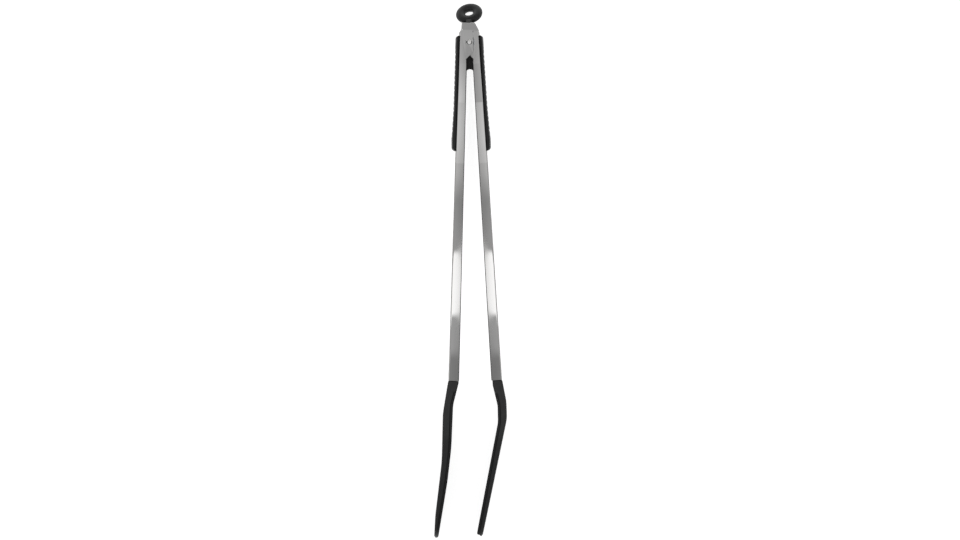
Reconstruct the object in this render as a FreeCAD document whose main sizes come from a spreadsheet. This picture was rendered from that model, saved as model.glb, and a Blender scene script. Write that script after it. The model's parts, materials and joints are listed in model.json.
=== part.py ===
"""Spring-loaded kitchen tongs with a slide lock and a pull ring, in millimetres.

The tongs lie flat. Every piece is drawn about the pivot, with -Y towards the gripping heads, and is
then moved so that the origin is under the middle of the whole object, on the surface it lies on.
An arm's own frame has its -Y along the arm; side is -1 for the left arm and 1 for the right arm.
"""
import FreeCAD, Part
import math
import os
import Sketcher

Vector = FreeCAD.Vector
LEFT = -1
RIGHT = 1
SIDE_NAMES = {LEFT: "left", RIGHT: "right"}

# Word, value, meaning. Lengths are millimetres and angles are degrees.
SIZES = [
    ("rest_angle", 2.73, "lean of each arm from the middle line with the tongs open"),
    ("arm_length", 279.0, "pivot to the end of the steel channel"),
    ("sheet", 0.9, "thickness of the steel"),
    ("bend_radius", 1.5, "outer radius between web and flange"),
    ("web_face", 9.0, "pivot axis to the outer face of an arm's web"),
    ("body_half", 18.0, "half of the overall thickness, set by grips and heads"),
    ("ear_half", 13.0, "half width over the outer ears"),
    ("ear_gap", 0.6, "room between outer and inner ears"),
    ("grip_half", 16.0, "half width of the channel under the grip"),
    ("end_half", 10.5, "half width of the channel at its end"),
    ("flare_start", 18.0, "pivot to where the channel begins to widen"),
    ("flare_end", 50.0, "pivot to where the channel has its full width"),
    ("taper_start", 100.0, "pivot to where the channel begins to narrow"),
    ("flange_ear_depth", 7.4, "depth of the flange just below the ears"),
    ("flange_end_depth", 9.0, "depth of the flange at the channel's end"),
    ("ear_reach", 3.3, "how far an ear reaches past the pivot axis"),
    ("ear_low", 7.8, "pivot to the lower end of the ear's straight edge"),
    ("ear_top", 9.2, "pivot to the upper end of the ear's straight edge"),
    ("shoulder_back", 2.8, "middle line to the end of the ear's bevel"),
    ("shoulder_step", 0.8, "small step in under the bevel"),
    ("shoulder_drop", 1.4, "height of that step"),
    ("neck_shoulder", 7.4, "pivot to where the neck begins to narrow"),
    ("tail_bend", 10.0, "pivot to where the tail plates slope inward"),
    ("tail_top", 15.9, "pivot to the end of the tails"),
    ("tail_drop", 2.5, "how far the tail plates slope inward"),
    ("tail_notch", 13.2, "pivot to the bottom of the notch in the tail webs"),
    ("tail_notch_half", 7.4, "half height of that notch"),
    ("left_tail_mid", 7.4, "left tail's web at the tail bend"),
    ("left_tail_end", 7.1, "left tail's web at its end"),
    ("right_tail_mid", 7.9, "right tail's web at the tail bend"),
    ("right_tail_end", 5.3, "right tail's web at its end"),
    ("cover_half", 8.3, "middle line to the cover plate's corner over the right tail"),
    ("cover_end", 4.9, "middle line to the cover plate's right end"),
    ("rivet_radius", 1.6, "radius of the pivot rivet's shank"),
    ("rivet_head_radius", 2.3, "radius of its domed heads"),
    ("rivet_head_height", 1.4, "height of its domed heads"),
    ("rivet_fit", 0.06, "radial play of everything that turns on the rivet"),
    ("washer_radius", 4.6, "outer radius of the friction washers"),
    ("face_play", 0.05, "play on each face of a washer"),
    ("back_washer", 0.5, "thickness of the washer under the peened head"),
    ("wire_radius", 0.55, "radius of the spring wire"),
    ("coil_radius", 2.75, "mean radius of the spring coil"),
    ("coil_turns", 2.5, "turns of each spring"),
    ("coil_pitch", 1.2, "rise of the coil in one turn"),
    ("leg_drop", 12.0, "pivot to the end of a spring leg along the arm"),
    ("leg_play", 0.55, "room between a spring leg and its web with the tongs open"),
    ("slide_half", 6.0, "half height of the lock slide"),
    ("slide_travel", 7.0, "travel of the lock slide"),
    ("slide_body", 4.6, "half width of the slide's lower part"),
    ("slide_wedge", 5.6, "half width of its wedge"),
    ("slide_stem", 3.75, "half width of its stem and fork"),
    ("slide_foot", 24.7, "pivot to the slide's lower corners"),
    ("slide_arch", 21.3, "pivot to the point under the arch's round"),
    ("arch_radius", 3.4, "radius of the arch's round"),
    ("wedge_foot", 1.0, "pivot to the wedge's lower corner, downwards"),
    ("wedge_top", 4.0, "pivot to the wedge's upper corner"),
    ("stem_foot", 7.5, "pivot to the stem's lower end"),
    ("fork_floor", 11.4, "pivot to the bottom of the fork"),
    ("fork_gap", 2.75, "half width of the fork's slot"),
    ("fork_eye", 1.9, "radius of the fork's rounded ends"),
    ("fork_root", 1.0, "fork's bottom down to where the prongs thin"),
    ("fork_rise", 0.4, "fork's bottom up to where they are thin"),
    ("fork_shoulder", 2.0, "how much is cut off each side of the stem at once"),
    ("fork_blend", 0.8, "radius at the foot of each prong"),
    ("slot_fit", 0.08, "play of the rivet in the slide's slot on each side"),
    ("ring_pin_radius", 0.9, "radius of the ring pin"),
    ("ring_pin_place", 15.0, "pivot to the ring pin"),
    ("ring_pin_fit", 0.02, "radial play of the ring pin in the fork"),
    ("ring_line", 7.15, "radius of the ring's centre line"),
    ("ring_wide", 3.95, "half width of the ring's section across its plane"),
    ("ring_thick", 2.9, "half thickness of the ring"),
    ("ring_hole", 3.5, "radius of the hole through the ring"),
    ("ring_reach", 12.8, "ring pin to the ring's centre"),
    ("ring_tongue", 2.0, "half width of the ring's tongue"),
    ("ring_eye", 1.5, "radius of the loose hole in the tongue"),
    ("tongue_radius", 2.6, "radius of the tongue round its hole"),
    ("ring_relief", 3.1, "radius cleared round the fork's ends"),
    ("ring_droop", 47.0, "how far the loose ring hangs down"),
    ("ring_yaw", 11.4, "how far it has turned to one side"),
    ("ring_roll", 8.8, "how far it has tipped in its own plane"),
    ("grip_top", 4.9, "pivot to the grip's upper end"),
    ("grip_foot", 90.1, "pivot to the grip's lower end"),
    ("grip_proud", 2.6, "how far the grip stands off the web"),
    ("grip_swell", 0.8, "extra swell near its lower end"),
    ("grip_wrap", 0.15, "how far the grip wraps round the channel's corner"),
    ("grip_edge", 1.0, "rounding of the grip's long edges"),
    ("grip_thumb", 2.4, "rounding of the grip's upper end"),
    ("grip_heel", 3.2, "rounding of its lower end"),
    ("swell_start", 36.0, "grip's lower end up to where the swell begins"),
    ("swell_peak", 10.0, "grip's lower end up to where the swell is full"),
    ("swell_tuck", 0.4, "how far the face draws back in below the swell"),
    ("swell_blend", 60.0, "radius where the swell begins"),
    ("swell_round", 30.0, "radius where it is full"),
    ("carrier_sheet", 1.0, "thickness of the grip's hard carrier"),
    ("carrier_half", 9.0, "half width of the carrier"),
    ("carrier_foot", 84.0, "pivot to the carrier's lower end"),
    ("carrier_drop", 3.0, "grip's upper end to the carrier's"),
    ("peg_radius", 1.5, "radius of the carrier's pegs"),
    ("peg_fit", 0.05, "radial play of a peg in the web"),
    ("peg_root", 0.5, "how deep a peg is rooted in the carrier"),
    ("peg_end", 0.6, "how far a peg reaches past the web"),
    ("peg_pitch", 34.0, "distance between pegs"),
    ("peg_first", 9.0, "pivot to the first peg"),
    ("tang_length", 19.0, "how far the head's tang goes into the channel"),
    ("tang_depth", 3.2, "thickness of the tang"),
    ("tang_half", 9.0, "half width of the tang"),
    ("tang_fit", 0.1, "play between tang and web"),
    ("head_rivet_radius", 1.6, "radius of a head rivet's shank"),
    ("head_rivet_cap", 2.9, "radius of its cap"),
    ("head_rivet_rise", 0.9, "height of its cap"),
    ("head_rivet_pitch", 8.0, "distance between head rivets"),
    ("head_rivet_last", 5.5, "channel's end to the last head rivet"),
    ("head_flare", 46.0, "channel's end to the head's full width"),
    ("head_neck", 10.0, "channel's end to where the head begins to widen"),
    ("head_neck_rise", 0.6, "how much wider it is there"),
    ("neck_blend", 24.0, "radius where the head begins to widen"),
    ("flare_blend", 40.0, "radius where it has its full width"),
    ("head_corner", 14.0, "corner radius of the head's end, seen from the side"),
    ("pad_sheet", 2.2, "thickness of the gripping pad"),
]

# Heads in plan: distance past the channel's end, distance out from the arm's middle, corner radius.
# The two heads differ, because both sweep to the same side and nest when the tongs close.
HEAD_OUTER = {
    LEFT: [(0.0, 9.0, 0), (27.0, 12.6, 60), (66.0, 12.2, 150), (111.0, 16.2, 60), (129.8, 16.6, 1.0)],
    RIGHT: [(0.0, 9.0, 0), (18.0, 11.3, 30), (32.0, 10.9, 30), (128.4, -15.75, 1.0)],
}
HEAD_INNER = {
    LEFT: [(2.0, 0.3, 0), (20.0, 4.3, 30), (56.0, 4.7, 150), (83.0, 7.0, 150), (129.8, 13.2, 1.0)],
    RIGHT: [(4.0, 0.8, 0), (21.0, 3.8, 20), (35.0, 3.2, 25), (126.2, -20.3, 1.0)],
}
PAD_START = {LEFT: 9.0, RIGHT: 11.0}

# How far a cut runs past what it cuts.
OVERRUN = "2"
FAR_OVERRUN = "4"
# A rounding that meets its opposite one stays this much short of touching it.
TOUCH = "0.02"

# Sizes worked out from the cells.
INNER_EAR_HALF = "(Sizes.ear_half - Sizes.sheet - Sizes.ear_gap)"
RIVET_HOLE = "(Sizes.rivet_radius + Sizes.rivet_fit)"
WEB_INSIDE = "(Sizes.web_face - Sizes.sheet)"
PEG_HOLE = "(Sizes.peg_radius + Sizes.peg_fit)"
BEVEL_FOOT = "(Sizes.ear_low + Sizes.ear_reach + Sizes.shoulder_back)"
FLANGE_FOOT = f"({BEVEL_FOOT} + Sizes.shoulder_drop)"
SLOT_HALF = "(Sizes.rivet_radius + Sizes.slot_fit)"
FAR_REACH = "(Sizes.web_face + 1)"
HEAD_END = max(corner[0] for side in HEAD_OUTER for corner in HEAD_OUTER[side])

doc = FreeCAD.newDocument("Tongs")
sheet = doc.addObject("Spreadsheet::Sheet", "Sizes")


def fill_sheet():
    """Put every driving size into the sheet, with its word as the alias."""
    for row, (word, size, meaning) in enumerate(SIZES, start=1):
        sheet.set(f"A{row}", word)
        sheet.set(f"B{row}", str(size))
        sheet.set(f"C{row}", meaning)
        sheet.setAlias(f"B{row}", word)
    doc.recompute()


def value(expression):
    """Number that an expression of the sheet's words gives."""
    return float(sheet.evalExpression(expression))


def sided(side, expression):
    """The expression on an arm's own side: outward is -X on the left arm and +X on the right arm."""
    return f"{side} * ({expression})"


# ---------------------------------------------------------------- PartDesign helpers
def new_body(label):
    """Empty PartDesign body for one sub-part."""
    body = doc.addObject("PartDesign::Body", label)
    body.Label = label
    return body


def sketch_on(body, name, role, offset=None, turn=None):
    """Sketch on one of the body's own planes, moved along the plane's normal and turned in it."""
    plane = next(feature for feature in body.Origin.OriginFeatures if feature.Role == role)
    sketch = body.newObject("Sketcher::SketchObject", f"{body.Label}_{name}")
    sketch.AttachmentSupport = [(plane, "")]
    sketch.MapMode = "FlatFace"
    if offset:
        sketch.setExpression("AttachmentOffset.Base.z", offset)
    if turn:
        sketch.AttachmentOffset = FreeCAD.Placement(Vector(), FreeCAD.Rotation(Vector(0, 0, 1), 1))
        sketch.setExpression("AttachmentOffset.Rotation.Angle", turn)
    return sketch


def outline(sketch, corners):
    """Closed outline through corners (x, y, radius), each an expression; radius None stays sharp."""
    points = [Vector(value(corner[0]), value(corner[1]), 0) for corner in corners]
    count = len(points)
    lines = []
    for index in range(count):
        line = Part.LineSegment(points[index], points[(index + 1) % count])
        lines.append(sketch.addGeometry(line, False))
    for index in range(count):
        following = lines[(index + 1) % count]
        sketch.addConstraint(Sketcher.Constraint("Coincident", lines[index], 2, following, 1))
    for index, corner in enumerate(corners):
        bind(sketch, Sketcher.Constraint("DistanceX", -1, 1, lines[index], 1, points[index].x), corner[0])
        bind(sketch, Sketcher.Constraint("DistanceY", -1, 1, lines[index], 1, points[index].y), corner[1])
    for index, corner in enumerate(corners):
        if corner[2]:
            round_corner(sketch, lines[index - 1], lines[index], points, index, corner[2])


def bind(sketch, constraint, expression):
    """Add a dimension and tie it to an expression."""
    number = sketch.addConstraint(constraint)
    sketch.setExpression(f"Constraints[{number}]", expression)


def round_corner(sketch, before, after, points, index, radius):
    """Round the corner between two lines; the sharp corner stays as its dimensioned point."""
    corner = points[index]
    near_before = (corner + points[index - 1]) * 0.5
    near_after = (corner + points[(index + 1) % len(points)]) * 0.5
    first = sketch.GeometryCount
    sketch.fillet(before, after, near_before, near_after, value(radius), True, True)
    added = range(first, sketch.GeometryCount)
    arc = next(n for n in added if sketch.Geometry[n].TypeId == "Part::GeomArcOfCircle")
    bind(sketch, Sketcher.Constraint("Radius", arc, value(radius)), radius)


def rectangle(sketch, low_x, high_x, low_y, high_y):
    """Rectangle between four expressions."""
    outline(sketch, [(low_x, low_y, None), (high_x, low_y, None),
                     (high_x, high_y, None), (low_x, high_y, None)])


def circle(sketch, x, y, radius):
    """Circle whose centre and radius are expressions."""
    shape = Part.Circle(Vector(value(x), value(y), 0), Vector(0, 0, 1), value(radius))
    number = sketch.addGeometry(shape, False)
    bind(sketch, Sketcher.Constraint("DistanceX", -1, 1, number, 3, value(x)), x)
    bind(sketch, Sketcher.Constraint("DistanceY", -1, 1, number, 3, value(y)), y)
    bind(sketch, Sketcher.Constraint("Radius", number, value(radius)), radius)


def pad(body, sketch, length, both_ways=True, reverse=False):
    """Thicken a sketch, to both sides of its plane or to one."""
    feature = body.newObject("PartDesign::Pad", f"{sketch.Label}_pad")
    feature.Profile = sketch
    feature.Midplane = both_ways
    feature.Reversed = reverse
    feature.setExpression("Length", length)
    return finish_feature(body, feature)


def pocket(body, sketch, length="200"):
    """Cut a sketch out to both sides of its plane, and make sure that it cut something."""
    before = body.Shape.Volume
    feature = body.newObject("PartDesign::Pocket", f"{sketch.Label}_cut")
    feature.Profile = sketch
    feature.Midplane = True
    feature.setExpression("Length", length)
    finish_feature(body, feature)
    if body.Shape.Volume >= before:
        raise RuntimeError(f"{feature.Label} cut nothing")
    return feature


def loft(body, kind, name, stations, bend):
    """Straight-sided loft across the arm through sections that are rounded on their web side.

    A station is the distance down, the open side's x, the web's x and the half width.
    """
    sections = []
    for index, (down, open_x, web_x, half) in enumerate(stations):
        section = sketch_on(body, f"{name}_{index}", "XZ_Plane", offset=down)
        outline(section, [(open_x, f"-({half})", None), (web_x, f"-({half})", bend),
                          (web_x, half, bend), (open_x, half, None)])
        sections.append(section)
    feature = body.newObject(f"PartDesign::{kind}", f"{body.Label}_{name}")
    feature.Profile = sections[0]
    feature.Sections = sections[1:]
    feature.Ruled = True
    return finish_feature(body, feature)


def revolve(body, sketch):
    """Turn a profile all the way round the sketch's upright axis."""
    feature = body.newObject("PartDesign::Revolution", f"{sketch.Label}_turned")
    feature.Profile = sketch
    feature.ReferenceAxis = (sketch, ["V_Axis"])
    feature.Angle = 360
    return finish_feature(body, feature)


def fillet_edges(body, name, radius, wanted):
    """Round every edge of the body that the test picks."""
    base = body.Tip
    picked = [f"Edge{n}" for n, edge in enumerate(base.Shape.Edges, start=1) if wanted(edge)]
    feature = body.newObject("PartDesign::Fillet", f"{body.Label}_{name}")
    feature.Base = (base, picked)
    feature.setExpression("Radius", radius)
    return finish_feature(body, feature)


def finish_feature(body, feature):
    """Make the feature the body's result."""
    body.Tip = feature
    doc.recompute()
    return feature


def lean(body, side):
    """Turn an arm's piece from its own frame to the open position."""
    body.Placement = FreeCAD.Placement(Vector(), FreeCAD.Rotation(Vector(0, 0, 1), side))
    body.setExpression("Placement.Rotation.Angle", f"{side} * Sizes.rest_angle * 1 deg")


# ---------------------------------------------------------------- arms
def arm_stations(side):
    """Web position and half width along the arm: (distance down from the pivot, web, half width)."""
    name = SIDE_NAMES[side]
    ear = "Sizes.ear_half" if side == LEFT else INNER_EAR_HALF
    return [
        ("-Sizes.tail_top", f"Sizes.{name}_tail_end", f"({ear} - Sizes.tail_drop)"),
        ("-Sizes.tail_bend", f"Sizes.{name}_tail_mid", ear),
        ("-Sizes.neck_shoulder", "Sizes.web_face", ear),
        ("Sizes.flare_start", "Sizes.web_face", ear),
        ("Sizes.flare_end", "Sizes.web_face", "Sizes.grip_half"),
        ("Sizes.taper_start", "Sizes.web_face", "Sizes.grip_half"),
        ("Sizes.arm_length", "Sizes.web_face", "Sizes.end_half"),
    ]


def arm_block(side, thinner="0"):
    """Loft stations of the space that the arm's channel fills, or of its inside."""
    far = sided(-side, FAR_REACH if thinner == "0" else f"{FAR_REACH} + 1")
    return [(down, far, sided(side, f"{web} - {thinner}"), f"({half} - {thinner})")
            for down, web, half in arm_stations(side)]


def make_channel(side):
    """Steel arm: a folded channel with ears round the pivot and a tail above them."""
    body = new_body(f"{SIDE_NAMES[side]}_arm_channel")
    loft(body, "AdditiveLoft", "outside", arm_block(side), "Sizes.bend_radius")
    loft(body, "SubtractiveLoft", "inside", arm_block(side, "Sizes.sheet"), "Sizes.bend_radius - Sizes.sheet")
    trim_ears(body, side)
    trim_flanges(body, side)
    rivet_hole = sketch_on(body, "rivet_hole", "XY_Plane")
    circle(rivet_hole, "0", "0", RIVET_HOLE)
    pocket(body, rivet_hole)
    notch_tail(body, side)
    drill_web(body, side)
    lean(body, side)
    return body


def trim_ears(body, side):
    """Cut the ears to their outline, which is square to the middle line with the tongs open."""
    across = -side
    sketch = sketch_on(body, "ears", "XY_Plane", turn=f"{-side} * Sizes.rest_angle * 1 deg")
    corners = [
        ("-Sizes.shoulder_back + Sizes.shoulder_step", f"-{FLANGE_FOOT}"),
        ("-Sizes.shoulder_back", f"-{BEVEL_FOOT}"),
        ("Sizes.ear_reach", "-Sizes.ear_low"),
    ]
    if side == LEFT:
        corners += [
            ("Sizes.ear_reach", "Sizes.ear_top"),
            ("Sizes.cover_half", "Sizes.ear_top"),
            ("Sizes.cover_end", "Sizes.tail_top"),
            ("Sizes.cover_end", f"Sizes.tail_top + {OVERRUN}"),
        ]
    else:
        corners += [("Sizes.ear_reach", f"Sizes.tail_top + {OVERRUN}")]
    corners += [
        (f"{FAR_REACH} + {FAR_OVERRUN}", f"Sizes.tail_top + {OVERRUN}"),
        (f"{FAR_REACH} + {FAR_OVERRUN}", f"-{FLANGE_FOOT}"),
    ]
    outline(sketch, [(sided(across, x), y, None) for x, y in corners])
    pocket(body, sketch)


def trim_flanges(body, side):
    """Cut the flanges to their depth, from just below the ears to the channel's end."""
    sketch = sketch_on(body, "flanges", "XY_Plane")
    upper = "Sizes.web_face - Sizes.flange_ear_depth"
    lower = "Sizes.web_face - Sizes.flange_end_depth"
    flange_step = "0.2"
    outline(sketch, [
        (sided(side, upper), f"-{FLANGE_FOOT} + {flange_step}", None),
        (sided(side, lower), f"-Sizes.arm_length - {OVERRUN}", None),
        (sided(-side, f"{FAR_REACH} + {FAR_OVERRUN}"), f"-Sizes.arm_length - {OVERRUN}", None),
        (sided(-side, f"{FAR_REACH} + {FAR_OVERRUN}"), f"-{FLANGE_FOOT} + 6 * {flange_step}", None),
    ])
    pocket(body, sketch)


def notch_tail(body, side):
    """Open the end of the tail's web, so that the ring can swing between the plates."""
    sketch = sketch_on(body, "notch", "YZ_Plane")
    rectangle(sketch, "Sizes.tail_notch", f"Sizes.tail_top + {OVERRUN}",
              "-Sizes.tail_notch_half", "Sizes.tail_notch_half")
    pocket(body, sketch)


def peg_places():
    """Distances of the grip's pegs from the pivot."""
    return [f"Sizes.peg_first + {n} * Sizes.peg_pitch" for n in range(3)]


def head_rivet_places():
    """Distances of the head's rivets from the pivot."""
    last = "Sizes.arm_length - Sizes.head_rivet_last"
    return [f"{last} - {n} * Sizes.head_rivet_pitch" for n in range(2)]


def drill_web(body, side):
    """Holes in the web for the grip's pegs and the head's rivets."""
    sketch = sketch_on(body, "web_holes", "YZ_Plane")
    for place in peg_places():
        circle(sketch, f"-({place})", "0", PEG_HOLE)
    for place in head_rivet_places():
        circle(sketch, f"-({place})", "0", "Sizes.head_rivet_radius")
    pocket(body, sketch)


# ---------------------------------------------------------------- grips
def make_grip(side):
    """Soft grip over the outside of the web, flat on the two faces that the tongs lie on."""
    body = new_body(f"{SIDE_NAMES[side]}_grip")
    face = "Sizes.web_face + Sizes.grip_proud"
    plan = sketch_on(body, "plan", "XY_Plane")
    inner = "Sizes.web_face - Sizes.grip_wrap"
    corners = [
        (inner, "Sizes.grip_top", None),
        (face, "Sizes.grip_top", "Sizes.grip_thumb"),
        (face, "-Sizes.grip_foot + Sizes.swell_start", "Sizes.swell_blend"),
        (f"{face} + Sizes.grip_swell", "-Sizes.grip_foot + Sizes.swell_peak", "Sizes.swell_round"),
        (f"{face} + Sizes.grip_swell - Sizes.swell_tuck", "-Sizes.grip_foot", "Sizes.grip_heel"),
        (inner, "-Sizes.grip_foot", None),
    ]
    outline(plan, [(sided(side, x), y, radius) for x, y, radius in corners])
    pad(body, plan, "2 * Sizes.body_half")
    fillet_edges(body, "edges", "Sizes.grip_edge", outer_rim_test(side, "Sizes.web_face + Sizes.grip_edge"))
    loft(body, "SubtractiveLoft", "channel_seat", arm_block(side)[2:6], "Sizes.bend_radius")
    seat = sketch_on(body, "carrier_seat", "XY_Plane")
    carrier_outline(seat, side)
    pocket(body, seat, "2 * Sizes.carrier_half")
    lean(body, side)
    return body


def outer_rim_test(side, beyond):
    """Picks the edges round a face that lies flat, outward of a distance from the arm's middle."""
    def wanted(edge):
        box = edge.BoundBox
        flat = box.ZLength < 0.01 and abs(abs(box.ZMin) - value("Sizes.body_half")) < 0.01
        return flat and side * box.Center.x > value(beyond)
    return wanted


def carrier_outline(sketch, side):
    """Plan of the hard strip between web and grip."""
    rectangle(sketch, sided(side, "Sizes.web_face"), sided(side, "Sizes.web_face + Sizes.carrier_sheet"),
              "-Sizes.carrier_foot", "Sizes.grip_top - Sizes.carrier_drop")


def make_carrier(side):
    """Hard strip inside the grip, with three pegs through the web."""
    body = new_body(f"{SIDE_NAMES[side]}_grip_carrier")
    strip = sketch_on(body, "strip", "XY_Plane")
    carrier_outline(strip, side)
    pad(body, strip, "2 * Sizes.carrier_half")
    pegs = sketch_on(body, "pegs", "YZ_Plane", offset=sided(side, "Sizes.web_face + Sizes.peg_root"))
    for place in peg_places():
        circle(pegs, f"-({place})", "0", "Sizes.peg_radius")
    pad(body, pegs, "Sizes.peg_root + Sizes.sheet + Sizes.peg_end", both_ways=False, reverse=side == RIGHT)
    lean(body, side)
    return body


# ---------------------------------------------------------------- heads
def head_corner(side, corner, shift="0"):
    """Outline corner of a head from its table entry, moved outward by shift."""
    past, out, radius = corner
    across = sided(side, f"{out} + {shift}")
    return (across, f"-(Sizes.arm_length + {past})", str(radius) if radius else None)


def pad_start_corner(side):
    """Point where the pad begins, on the first straight stretch of the head's inner side."""
    first, second = HEAD_INNER[side][:2]
    past = PAD_START[side]
    rise = (second[1] - first[1]) / (second[0] - first[0])
    return (past, first[1] + (past - first[0]) * rise, 0)


def make_head_shell(side):
    """Rigid outer shell of a head, with a tang that goes into the channel."""
    body = new_body(f"{SIDE_NAMES[side]}_head_shell")
    start = pad_start_corner(side)
    corners = [head_corner(side, corner) for corner in HEAD_OUTER[side]]
    parting = [head_corner(side, corner, "Sizes.pad_sheet") for corner in HEAD_INNER[side][1:]]
    tip = parting.pop()
    corners.append((tip[0], tip[1], None))
    corners += reversed(parting)
    corners.append(head_corner(side, start, "Sizes.pad_sheet"))
    corners.append(head_corner(side, start))
    corners.append(head_corner(side, HEAD_INNER[side][0]))
    corners.append(head_corner(side, (0.0, HEAD_INNER[side][0][1], 0)))
    plan = sketch_on(body, "plan", "XY_Plane")
    outline(plan, corners)
    pad(body, plan, "2 * Sizes.body_half")
    trim_head(body)
    tang = sketch_on(body, "tang", "XY_Plane")
    tang_face = f"{WEB_INSIDE} - Sizes.tang_fit"
    rectangle(tang, sided(side, tang_face), sided(side, f"{tang_face} - Sizes.tang_depth"),
              "-Sizes.arm_length + Sizes.tang_length", f"-Sizes.arm_length - {OVERRUN}")
    pad(body, tang, "2 * Sizes.tang_half")
    holes = sketch_on(body, "rivet_holes", "YZ_Plane")
    for place in head_rivet_places():
        circle(holes, f"-({place})", "0", "Sizes.head_rivet_radius")
    pocket(body, holes)
    lean(body, side)
    return body


def make_head_pad(side):
    """Soft pad on the gripping side of a head."""
    body = new_body(f"{SIDE_NAMES[side]}_head_pad")
    start = pad_start_corner(side)
    inner = [head_corner(side, corner) for corner in HEAD_INNER[side][1:]]
    parting = [head_corner(side, corner, "Sizes.pad_sheet") for corner in HEAD_INNER[side][1:]]
    tip = parting.pop()
    corners = [head_corner(side, start)] + inner
    corners.append((tip[0], tip[1], None))
    corners += reversed(parting)
    corners.append(head_corner(side, start, "Sizes.pad_sheet"))
    plan = sketch_on(body, "plan", "XY_Plane")
    outline(plan, corners)
    pad(body, plan, "2 * Sizes.body_half")
    trim_head(body)
    lean(body, side)
    return body


def trim_head(body):
    """Cut a head to its outline from the side: narrow at the channel, full width, round end."""
    sketch = sketch_on(body, "side_view", "YZ_Plane")
    start = "-Sizes.arm_length"
    end = f"-(Sizes.arm_length + {HEAD_END})"
    kept = [
        (start, "Sizes.end_half", None),
        (f"{start} - Sizes.head_neck", "Sizes.end_half + Sizes.head_neck_rise", "Sizes.neck_blend"),
        (f"{start} - Sizes.head_flare", "Sizes.body_half", "Sizes.flare_blend"),
        (end, "Sizes.body_half", "Sizes.head_corner"),
    ]
    mirrored = [(x, f"-({y})", radius) for x, y, radius in reversed(kept)]
    outline(sketch, kept + mirrored)
    rectangle(sketch, f"{start} + {OVERRUN}", f"{end} - Sizes.head_corner",
              "-3 * Sizes.body_half", "3 * Sizes.body_half")
    pocket(body, sketch)


def make_head_rivets(side):
    """The two rivets that hold a head's tang to the web."""
    body = doc.addObject("Part::Feature", f"{SIDE_NAMES[side]}_head_rivets")
    body.Label = f"{SIDE_NAMES[side]}_head_rivets"
    web = value("Sizes.web_face")
    cap = value("Sizes.head_rivet_cap")
    rise = value("Sizes.head_rivet_rise")
    shank = value("Sizes.head_rivet_radius")
    depth = value("Sizes.sheet + Sizes.tang_fit + Sizes.tang_depth")
    rivets = []
    for place in head_rivet_places():
        down = -value(place)
        dome_radius = (cap * cap + rise * rise) / (2 * rise)
        ball = Part.makeSphere(dome_radius, Vector(side * (web + rise - dome_radius), down, 0))
        disc = Part.makeCylinder(cap, rise, Vector(side * web, down, 0), Vector(side, 0, 0))
        stem = Part.makeCylinder(shank, depth, Vector(side * web, down, 0), Vector(-side, 0, 0))
        rivets.append(ball.common(disc).fuse(stem).removeSplitter())
    body.Shape = Part.makeCompound(rivets)
    body.Placement = FreeCAD.Placement(Vector(), FreeCAD.Rotation(Vector(0, 0, 1),
                                                                  side * value("Sizes.rest_angle")))
    return body


# ---------------------------------------------------------------- hinge
def make_rivet():
    """Pivot rivet with a domed head on each end."""
    body = new_body("pivot_rivet")
    top = "(Sizes.ear_half + Sizes.face_play)"
    foot = "(Sizes.ear_half + 2 * Sizes.face_play + Sizes.back_washer)"
    profile = sketch_on(body, "profile", "XZ_Plane")
    outline(profile, [
        ("0", f"-{foot} - Sizes.rivet_head_height", None),
        ("Sizes.rivet_head_radius", f"-{foot} - Sizes.rivet_head_height", "Sizes.rivet_head_height - 0.1"),
        ("Sizes.rivet_head_radius", f"-{foot}", None),
        ("Sizes.rivet_radius", f"-{foot}", None),
        ("Sizes.rivet_radius", top, None),
        ("Sizes.rivet_head_radius", top, None),
        ("Sizes.rivet_head_radius", f"{top} + Sizes.rivet_head_height", "Sizes.rivet_head_height - 0.1"),
        ("0", f"{top} + Sizes.rivet_head_height", None),
    ])
    revolve(body, profile)
    return body


def make_washer(label, radius, low, high):
    """Flat washer on the rivet, between two heights."""
    body = new_body(label)
    profile = sketch_on(body, "profile", "XZ_Plane")
    rectangle(profile, RIVET_HOLE, radius, low, high)
    revolve(body, profile)
    return body


def make_washers():
    """Friction washers between the ears, and the washer under the rivet's peened head."""
    low = f"{INNER_EAR_HALF} + Sizes.face_play"
    high = "Sizes.ear_half - Sizes.sheet - Sizes.face_play"
    back = "Sizes.ear_half + Sizes.face_play"
    return [
        make_washer("front_washer", "Sizes.washer_radius", low, high),
        make_washer("back_washer", "Sizes.washer_radius", f"-({high})", f"-({low})"),
        make_washer("rivet_washer", "Sizes.rivet_head_radius + 1",
                    f"-({back} + Sizes.back_washer)", f"-({back})"),
    ]


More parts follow.
